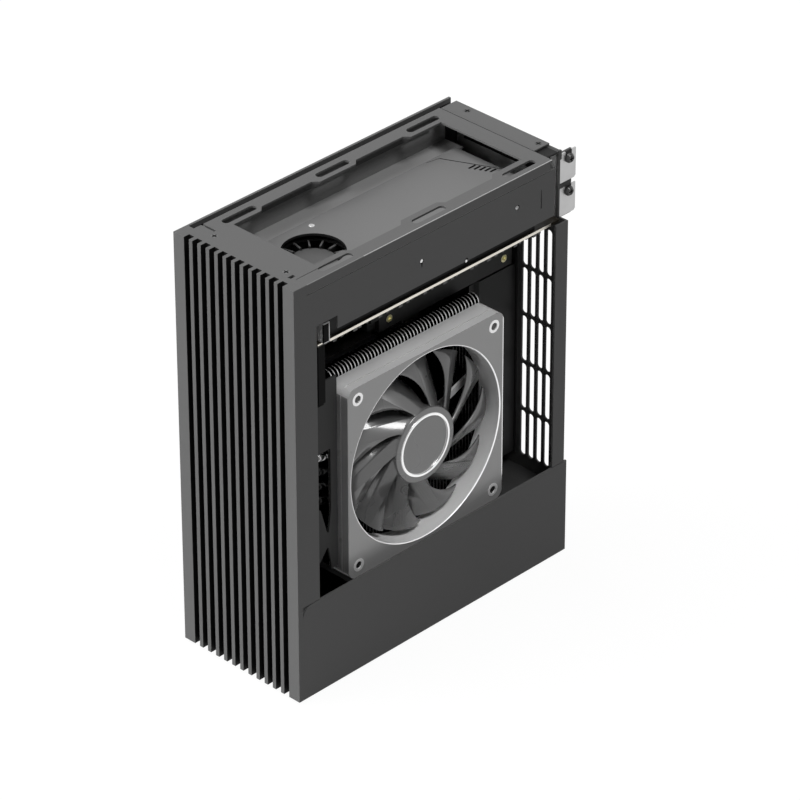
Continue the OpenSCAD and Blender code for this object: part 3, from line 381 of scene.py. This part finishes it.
# %% [markdown]
# The cooler's fan has a cast frame in bright silver paint. Its face and the side towards the front
# panel are painted greyer, as painted shade, and the wall of its mouth near white, as painted
# light.
# Slow noise in the roughness lets broad highlights drift over it. The rim of the mouth and the
# rear edge of the face carry painted highlights: there the grey is near white and the shader turns
# metallic.

# %% Silver fan frame
FAN = (29.0, -4.67, 114.2)
SILVER = 0.95
MOUTH_WALL, MOUTH_RIM = (55.5, 58.2), (57.5, 58.25)
FRAME_FACE = ((36.45, 37), (-80, 80), (40, 190))
FRAME_SIDE = ((20, 36.2), (-66, -64.4), (40, 190))
FRONT_LAYER = ((36.1, 37), (-80, 80), (40, 190))
REAR_EDGE = ((36.0, 37), (54.85, 56), (60, 171))


def frame_silver():
    made, tree, shader, place = start("fan_frame_silver", grey(SILVER), 0.3)
    wear(tree, shader, place, 28, 0.25, 0.4)
    # face and side: painted shade; mouth wall, rim and rear edge: painted light and highlights
    face = box_zone(tree, place, *FRAME_FACE)
    side = box_zone(tree, place, *FRAME_SIDE)
    wall = ring_zone(tree, place, "x", FAN, MOUTH_WALL)
    rim = both(tree, ring_zone(tree, place, "x", FAN, MOUTH_RIM),
               box_zone(tree, place, *FRONT_LAYER))
    glint_edges = either(tree, rim, box_zone(tree, place, *REAR_EDGE))
    tree.links.new(glint_edges, shader.inputs["Metallic"])
    tint(tree, shader, place, grey(SILVER), 14, 0.08,
         [(face, 0.46), (side, 0.42), (wall, 0.98), (glint_edges, 0.98)])
    return made


give(frame_silver(), "fan_frame")

# %% [markdown]
# The rotor is moulded plastic with a pearl gloss: a clear coat over dark grey makes soft streaks
# along each blade. Its hub has an even face and carries a narrow white ring, which the solid has
# as a raised step, so a ring zone can colour exactly that step. The ring flashes like metal, and
# so do the upper two of the pale rings in the frame's corner holes.

# %% Rotor, white ring and corner rings
ROTOR, RING_WHITE = 0.1, 0.95
HUB_STEP, HUB_FACE = (17.3, 18.8), (0, 22.5)
ROTOR_FRONT = ((33.0, 40), (-60, 60), (60, 160))
UPPER_CORNERS = ((30, 40), (-80, 80), (110, 180))


def rotor_plastic():
    made, tree, shader, place = start("rotor_plastic", grey(ROTOR), 0.3, metal=0.1, level=0.6,
                                      coat=1.0)
    front = box_zone(tree, place, *ROTOR_FRONT)
    ring = both(tree, ring_zone(tree, place, "x", FAN, HUB_STEP), front)
    face = both(tree, ring_zone(tree, place, "x", FAN, HUB_FACE), front)
    tint(tree, shader, place, grey(ROTOR), 20, 0.06, [(face, ROTOR), (ring, RING_WHITE)])
    tree.links.new(ring, shader.inputs["Metallic"])
    wear(tree, shader, place, 40, 0.24, 0.34)
    return made


def corner_ring_white():
    made, tree, shader, place = start("corner_ring_white", grey(RING_WHITE), 0.3)
    upper = box_zone(tree, place, *UPPER_CORNERS)
    tree.links.new(both(tree, upper, 0.6), shader.inputs["Metallic"])
    tint(tree, shader, place, grey(RING_WHITE), 200, 0.03)
    return made


rotor_finish = rotor_plastic()
give(rotor_finish, "fan_rotor")
give(corner_ring_white(), "fan_rings")

# %% [markdown]
# The cooler's fins are thin aluminium sheets, nickelled black, so that each edge gives a small
# bright glint. Its heat pipes are copper under bright nickel, and the lower ones are painted dark
# as painted shade.
# Bare metal is fully metallic in the shader: its colour is the colour of its reflections.

# %% Metals
PIPE = 0.66
# painted shade on the lower pipes
LOWER_PIPE_SHADE = (((-60, 60), (-100, 100), (0, 118), 0.03),)


def metal(name, colour, rough, scale=150, metallic=1.0):
    made, tree, shader, place = start(name, colour, rough, metal=metallic)
    wear(tree, shader, place, scale, rough * 0.7, rough * 1.3)
    tint(tree, shader, place, colour, scale / 3, 0.06)
    return made


def pipe_nickel():
    made, tree, shader, place = start("pipe_nickel", grey(PIPE), 0.2, metal=1.0)
    tint(tree, shader, place, grey(PIPE), 60, 0.08, patches(tree, place, LOWER_PIPE_SHADE))
    wear(tree, shader, place, 150, 0.15, 0.3)
    return made


give(metal("fin_black_nickel", grey(0.05), 0.25, 400), "fin_stack")
give(metal("bright_nickel", (0.66, 0.66, 0.67), 0.22), "cooler_base processor")
give(pipe_nickel(), "heat_pipes")
give(metal("plain_steel", grey(0.5), 0.35, 200),
     "power_button board_screws cpu_socket cooler_bracket usb_ports network_port video_ports "
     "gpu_ports psu_screws")
give(metal("tab_steel", grey(0.47), 0.4, 120), "gpu_bracket")
give(metal("soft_brass", (0.85, 0.8, 0.48), 0.35, 300), "board_standoffs cover_screws")

# %% [markdown]
# The small black parts differ mostly in gloss: sockets and plugs are dull nylon, board covers
# are satin, screws are blackened steel, and the feet are rubber. One helper makes them all from
# a tone, a roughness and a specular level.

# %% Black parts
def black(name, tone, rough, level=0.3, scale=60):
    made, tree, shader, place = start(name, grey(tone), rough, level=level)
    tint(tree, shader, place, grey(tone), scale, 0.15)
    wear(tree, shader, place, scale, rough - 0.05, rough + 0.08)
    return made


give(black("black_nylon", 0.012, 0.5),
     "button_housing memory_slots board_power_socket card_slot audio_jacks blower_motor "
     "psu_fan_rotor psu_inlet psu_rocker io_shield")
give(black("cover_satin", 0.03, 0.5, 0.25, 25),
     "io_cover drive_cover memory_stick_a memory_stick_b")
give(black("black_anodised", 0.03, 0.35, 0.4), "gpu_heatsink")
give(black("black_screw", 0.02, 0.25, 0.5, 300), "slot_screws fan_screws")
give(black("supply_coat", 0.04, 0.5, 0.2), "psu_housing")
give(black("foot_rubber", 0.015, 0.7, 0.2, 300), "rubber_feet")

# %% [markdown]
# Two small things need patches. The stay is a black strip below the card's front corner and an
# angle on the card, whose front is painted pale as painted light and whose outer edges are painted
# highlights. The case's screws are one node, so patches tell them apart: those in the top have
# painted shade in their recesses, those near the rear edge are painted darker too, as painted
# shade, and the one in the side wall has a bright head.

# %% Stay and case screws
STAY, SCREWS = 0.01, 0.15
# painted light on the angle's front and painted highlights on its edges
STAY_HIGHLIGHTS = (
    ((33.5, 41.0), (-87.3, -87.05), (216, 229), 0.9),  # front of the angle
    ((41.0, 42.2), (-88, -82), (227.4, 229), 0.95),  # top of its side plate
    ((41.9, 42.2), (-83.3, -82), (216, 229), 0.95),  # rear edge of that plate
    ((41.9, 42.2), (-88.5, -82), (215.5, 216.5), 0.95),  # lower edge of that plate
)
# painted shade in the first three rows: the recesses and the heads at the rear
SCREW_PATCHES = (
    ((-40, 40), (-101, 90), (256.5, 258.6), 0.01),  # recesses at the front
    ((-40, 40), (90, 97), (250, 259), 0.08),  # heads at the rear
    ((-40, 40), (90, 97), (250, 257.9), 0.01),  # recesses at the rear
    ((42, 46), (50, 62), (235, 245), 0.95),  # head in the side wall
)


def stay_black():
    made, tree, shader, place = start("stay_black", grey(STAY), 0.6, level=0.03)
    tint(tree, shader, place, grey(STAY), 60, 0.15, patches(tree, place, STAY_HIGHLIGHTS))
    return made


def screw_coat():
    made, tree, shader, place = start("screw_coat", grey(SCREWS), 0.5, level=0.2)
    tint(tree, shader, place, grey(SCREWS), 300, 0.1, patches(tree, place, SCREW_PATCHES))
    return made


give(stay_black(), "gpu_stay")
give(screw_coat(), "case_screws")

# %% [markdown]
# Circuit boards are glass fibre under a dark solder mask. The card's long edge shows bare, and
# reads as a thin cream line along the whole opening. The mask is given to both boards here, and
# the edge is a piece of its own further down.

# %% Board mask
MASK = (0.02, 0.017, 0.012)


def board_mask():
    made, tree, shader, place = start("board_mask", MASK, 0.35)
    tint(tree, shader, place, MASK, 400, 0.5)
    wear(tree, shader, place, 200, 0.3, 0.5)
    return made


give(board_mask(), "mainboard gpu_board")
unfinished = [name for name, piece in nodes.items() if not piece.data.materials]
print("nodes still without a finish:", unfinished)

# %% [markdown]
# New pieces are small, so each comes from a cube or a cylinder that bmesh makes and bevels. The
# first helper keeps the object at the origin with its place in the mesh, as every CAD node has
# it, and ties it to a body so that it moves with it. The others round edges and make a block.

# %% Helpers for small pieces
def settle(name, bm, material, body="case"):
    """Writes a bmesh to a new object at the origin and ties it to a body."""
    mesh = bpy.data.meshes.new(name)
    bm.to_mesh(mesh)
    bm.free()
    mesh.materials.append(material)
    made = bpy.data.objects.new(name, mesh)
    bpy.context.scene.collection.objects.link(made)
    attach(made, body)
    print(name, "has", len(mesh.polygons), "faces")
    return made


def edges_of(bm, corners):
    """The edges between some corners, in the same order in each run."""
    corners = set(corners)
    return [edge for edge in bm.edges if edge.verts[0] in corners]


def round_edges(bm, edges, offset, segments=2):
    """Bevels edges by an offset in millimetres."""
    bmesh.ops.bevel(bm, geom=edges, offset=offset * MM, offset_type="OFFSET", affect="EDGES",
                    segments=segments, profile=0.5, material=-1)


def add_block(bm, x, y, z, bevel=0.0):
    """A block between millimetre limits. Gives its corners, which a bevel replaces."""
    corners = bmesh.ops.create_cube(bm, size=1)["verts"]
    size = Vector([high - low for low, high in (x, y, z)]) * MM
    middle = Vector([low + high for low, high in (x, y, z)]) * MM / 2
    bmesh.ops.scale(bm, vec=size, verts=corners)
    bmesh.ops.translate(bm, vec=middle, verts=corners)
    if bevel:
        round_edges(bm, edges_of(bm, corners), bevel)
    return corners


print("new pieces ride on the case unless they name another body")

# %% [markdown]
# The real blades stand back in the frame and leave its bright wall open. The visible rotor starts
# as a copy of the solid one, with its loose triangles merged. Every point outside the hub is
# drawn in towards the axis and back towards the motor, the more the further out it is, so the
# blades keep their curves but stand deep in the frame.

# %% Rotor with its blades drawn back
HUB_RADIUS, OLD_TIP, NEW_TIP = 22.4, 56.5, 53.2
BACK_PLANE, DEPTH_KEPT, DEPTH_LOST = 23.75, 0.9, 0.3
HUB_MARGIN, MERGE = 0.05, 0.00001

blades = bmesh.new()
blades.from_mesh(nodes["fan_rotor"].data)
bmesh.ops.remove_doubles(blades, verts=blades.verts, dist=MERGE)
for vert in blades.verts:
    y, z = vert.co.y / MM - FAN[1], vert.co.z / MM - FAN[2]
    radius = math.hypot(y, z)
    if radius > HUB_RADIUS + HUB_MARGIN:
        out = (radius - HUB_RADIUS) / (OLD_TIP - HUB_RADIUS)
        scale = (HUB_RADIUS + out * (NEW_TIP - HUB_RADIUS)) / radius
        depth = (vert.co.x / MM - BACK_PLANE) * (DEPTH_KEPT - DEPTH_LOST * out)
        vert.co = Vector((BACK_PLANE + depth, FAN[1] + y * scale, FAN[2] + z * scale)) * MM
bmesh.ops.recalc_face_normals(blades, faces=blades.faces)
drawn_rotor = settle("fan_blades_and_hub", blades, rotor_finish, body="cooler_fan")
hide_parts("fan_rotor")

# %% [markdown]
# The card's board is cut from a sheet of glass fibre, and its cut edge is the cream line that
# runs along the opening. The strip lies on that edge, about a tenth of a millimetre proud. Near
# the front corner only the upper half of the edge shows bare.

# %% Cream edge of the card's board
CREAM = (0.84, 0.8, 0.72)
EDGE_X, EDGE_TOP = (40.2, 40.42), 215.98
FRONT_END, CORNER, REAR_END = -89.9, -81.0, 88.0


def board_edge_cream():
    made, tree, shader, place = start("board_edge_cream", CREAM, 0.45, metal=0.85, level=0.3)
    tint(tree, shader, place, CREAM, 60, 0.05)
    return made


edge_strip = bmesh.new()
add_block(edge_strip, EDGE_X, (CORNER, REAR_END), (214.42, EDGE_TOP))
add_block(edge_strip, EDGE_X, (FRONT_END, CORNER), (215.2, EDGE_TOP))
settle("card_edge", edge_strip, board_edge_cream())

# %% [markdown]
# Each fin of the cooler ends in a rounded ear that stands above the fan, and the folded edges of
# the 46 ears flash as a row of bright teeth. An ear is a block as thin as a fin, with its front
# top corner rounded by the bevel operator. Its edge is painted near white, as a painted highlight,
# and its two faces are black, so the faces are sorted into two material slots by the way they
# look.

# %% Ears on the fins
EAR_COUNT, EAR_PITCH, HALF_EAR = 46, 2.5, 0.35
EAR_X, EAR_Z, EAR_ROUNDING = (15.8, 21.4), (173.7, 178.4), 4.4
EDGE_SLOT, FACE_SLOT = 0, 1


# the near white of the ears' edges is a painted highlight
def ear_edge_glint():
    made, tree, shader, place = start("ear_edge_glint", grey(0.95), 0.3, metal=0.2)
    tint(tree, shader, place, grey(0.95), 300, 0.05)
    return made


ears = bmesh.new()
for i in range(EAR_COUNT):
    y = FAN[1] + (i - (EAR_COUNT - 1) / 2) * EAR_PITCH
    corners = add_block(ears, EAR_X, (y - HALF_EAR, y + HALF_EAR), EAR_Z)
    front_top = [vert for vert in corners
                 if vert.co.x > sum(EAR_X) / 2 * MM and vert.co.z > sum(EAR_Z) / 2 * MM]
    fold = [edge for edge in front_top[0].link_edges if edge.other_vert(front_top[0]) in front_top]
    round_edges(ears, fold, EAR_ROUNDING, segments=6)
for panel in ears.faces:
    panel.material_index = FACE_SLOT if abs(panel.normal.y) > 0.5 else EDGE_SLOT
fin_lips = settle("fin_lips", ears, ear_edge_glint())
fin_lips.data.materials.append(nodes["fin_stack"].data.materials[0])

# %% [markdown]
# Small fasteners catch the light: a bright screw in the shroud beside the blower, a pin in the
# side wall's keyhole and a rivet lower down. Each is a short cylinder with bevelled ends.

# %% Small bright fasteners
RODS = (
    ("z", (-15.8, -38.3, 243.7), 1.65, 1.0),  # screw in the shroud
    ("x", (44.0, -16.7, 237.6), 1.1, 0.8),  # pin in the keyhole
    ("x", (44.1, 17.4, 223.4), 0.8, 0.8),  # rivet
)


def add_rod(bm, axis, centre, radius, length, bevel=0.15):
    """A short cylinder about an axis, from a cone with equal radii, in millimetres."""
    made = bmesh.ops.create_cone(bm, cap_ends=True, segments=24, radius1=radius * MM,
                                 radius2=radius * MM, depth=length * MM)["verts"]
    if axis == "x":
        bmesh.ops.rotate(bm, verts=made, matrix=Matrix.Rotation(math.pi / 2, 3, "Y"))
    bmesh.ops.translate(bm, verts=made, vec=Vector(centre) * MM)
    rims = [edge for edge in edges_of(bm, made)
            if any(len(face.verts) > 4 for face in edge.link_faces)]
    round_edges(bm, rims, bevel)


rods = bmesh.new()
for axis, centre, radius, length in RODS:
    add_rod(rods, axis, centre, radius, length)
bright_zinc = metal("bright_zinc", grey(0.95), 0.3, 300, 0.5)
settle("bright_fasteners", rods, bright_zinc)

# %% [markdown]
# The four screws in the top have cross recesses, which the small solids only hint at. Each cross
# is two thin black bars, painted shade for the recesses' depth, that stand a few hundredths of a
# millimetre proud of the screw's head.

# %% Crosses on the top screws
TOP_SCREWS = ((-26, -99.4, 258.7), (27.4, -99.4, 258.7), (-27, 92.6, 258.0), (26, 92.6, 258.0))
ARM, HALF_BAR, SUNK, PROUD = 1.6, 0.4, 0.3, 0.03

crosses = bmesh.new()
for x, y, z in TOP_SCREWS:
    for along, across in ((ARM, HALF_BAR), (HALF_BAR, ARM)):
        add_block(crosses, (x - along, x + along), (y - across, y + across), (z - SUNK, z + PROUD))
# the black of the crosses is painted shade for the recesses
cross_shade_black = black("cross_shade_black", 0.006, 0.6, 0.05, 300)
settle("screw_crosses", crosses, cross_shade_black)

# %% [markdown]
# Chips and coils hang under the card's edge in the dark. A few small blocks of uneven size are
# enough to break up that band, because nobody sees more of them than a glint. A remainder makes
# their places and sizes uneven, and the same in each run.

# %% Small parts under the card
CHIP_COUNT, FIRST_CHIP, CHIP_PITCH = 34, -84, 4.9
SMALLEST_CHIP, CHIP_STEP, CHIP_SHIFT = 1.2, 0.3, 0.4
CHIP_BACK, CHIP_FRONT, BOARD_UNDERSIDE, SOLDERED = 38.6, 39.9, 214.4, 214.45

chips = bmesh.new()
for i in range(CHIP_COUNT):
    y = FIRST_CHIP + i * CHIP_PITCH + (i * 7 % 5) * CHIP_SHIFT
    size = SMALLEST_CHIP + (i * 5 % 7) * CHIP_STEP
    add_block(chips, (CHIP_BACK - size / 3, CHIP_FRONT), (y, y + size),
              (BOARD_UNDERSIDE - size * 0.7, SOLDERED), bevel=0.12)
chip_brown = black("chip_brown", 0.05, 0.3, 0.5, 400)
settle("card_chips", chips, chip_brown)

# %% [markdown]
# Behind the upper slot's vents stands one thin black strip of painted shade, so that hardly any
# daylight shows through from inside.

# %% Black strip of painted shade behind the upper slot
strip = bmesh.new()
# painted shade: a black strip where the vents would show light
add_block(strip, (-31.0, 33.0), (94.45, 94.75), (239.0, 251.6), bevel=0.1)
strip_shade_black = black("strip_shade_black", 0.004, 0.8, 0.02, 900)
settle("shade_strip", strip, strip_shade_black)

# %% [markdown]
# A plain studio has a dim even world around it. World and floor are white only to rays from the
# camera, or by way of a mirror or glass, so the background is white without more light on the
# object.

# %% World
WORLD_LIGHT, WORLD_SEEN = 0.07, 1.0


def seen_directly(tree):
    """1 for rays from the camera, from a mirror or through glass, 0 for light on a matt face."""
    path = tree.nodes.new("ShaderNodeLightPath")
    sharp = either(tree, path.outputs["Is Camera Ray"], path.outputs["Is Glossy Ray"])
    return either(tree, sharp, path.outputs["Is Transmission Ray"])


def mixed(tree, matt_side, seen_side):
    """One shader for light on matt faces, another for what is seen directly."""
    mix = tree.nodes.new("ShaderNodeMixShader")
    tree.links.new(seen_directly(tree), mix.inputs["Fac"])
    tree.links.new(matt_side, mix.inputs[1])
    tree.links.new(seen_side, mix.inputs[2])
    return mix.outputs["Shader"]


world = bpy.data.worlds.new("studio")
bpy.context.scene.world = world
world.use_nodes = True
world_tree = world.node_tree
world_light = world_tree.nodes["Background"]
world_white = world_tree.nodes.new("ShaderNodeBackground")
for background, strength in ((world_light, WORLD_LIGHT), (world_white, WORLD_SEEN)):
    background.inputs["Color"].default_value = (1, 1, 1, 1)
    background.inputs["Strength"].default_value = strength
world_mix = mixed(world_tree, world_light.outputs["Background"],
                  world_white.outputs["Background"])
world_tree.links.new(world_mix, world_tree.nodes["World Output"].inputs["Surface"])
print("world strength on matt faces:", WORLD_LIGHT)

# %% [markdown]
# The lamps are suns with wide discs, because the shadows in the photograph are soft. Two light
# the top and the front. The third shines steeply in through the open side: it is the smallest,
# and so it is the one that shows as a bright spot on the glossy fan blades.

# %% Lamps
def soft_sun(name, direction, strength, spread):
    """A sun with a wide disc, so that its shadows are soft. direction is where the light goes."""
    data = bpy.data.lights.new(name, "SUN")
    data.energy = strength
    data.angle = math.radians(spread)
    lamp = bpy.data.objects.new(name, data)
    lamp.rotation_mode = "QUATERNION"
    lamp.rotation_quaternion = Vector(direction).to_track_quat("-Z", "Y")
    bpy.context.scene.collection.objects.link(lamp)
    print(name, "has strength", strength, "and a disc of", spread, "degrees")


soft_sun("overhead", (0.4, 0.3, -1), 1.6, 50)
soft_sun("front_fill", (0.6, 1, -0.25), 4.0, 60)
soft_sun("side_lamp", (-0.45, 0.1, -0.89), 1.25, 19)

# %% [markdown]
# The floor is one large square from bmesh's grid operator. Seen directly it is almost white by
# its own glow, with a little matt white that darkens in the case's shadow. To the light that
# falls on the case it is a plain grey floor, so it throws only a little light back up.

# %% Floor
FLOOR_HALF, FLOOR_GLOW = 12, 0.95


def floor_paint():
    made = bpy.data.materials.new("floor_paint")
    made.use_nodes = True
    tree = made.node_tree
    plain = tree.nodes["Principled BSDF"]
    plain.inputs["Base Color"].default_value = (*grey(0.3), 1)
    plain.inputs["Roughness"].default_value = 0.9
    plain.inputs["Specular IOR Level"].default_value = 0.0
    matt = tree.nodes.new("ShaderNodeBsdfDiffuse")
    matt.inputs["Color"].default_value = (*grey(0.06), 1)
    glow = tree.nodes.new("ShaderNodeEmission")
    glow.inputs["Strength"].default_value = FLOOR_GLOW
    seen = tree.nodes.new("ShaderNodeAddShader")
    tree.links.new(matt.outputs["BSDF"], seen.inputs[0])
    tree.links.new(glow.outputs["Emission"], seen.inputs[1])
    mix = mixed(tree, plain.outputs["BSDF"], seen.outputs["Shader"])
    tree.links.new(mix, tree.nodes["Material Output"].inputs["Surface"])
    return made


floor_bm = bmesh.new()
bmesh.ops.create_grid(floor_bm, x_segments=1, y_segments=1, size=FLOOR_HALF)
floor_mesh = bpy.data.meshes.new("studio_floor")
floor_bm.to_mesh(floor_mesh)
floor_bm.free()
floor_mesh.materials.append(floor_paint())
floor = bpy.data.objects.new("studio_floor", floor_mesh)
bpy.context.scene.collection.objects.link(floor)
print("floor at z 0, metres across:", 2 * FLOOR_HALF)
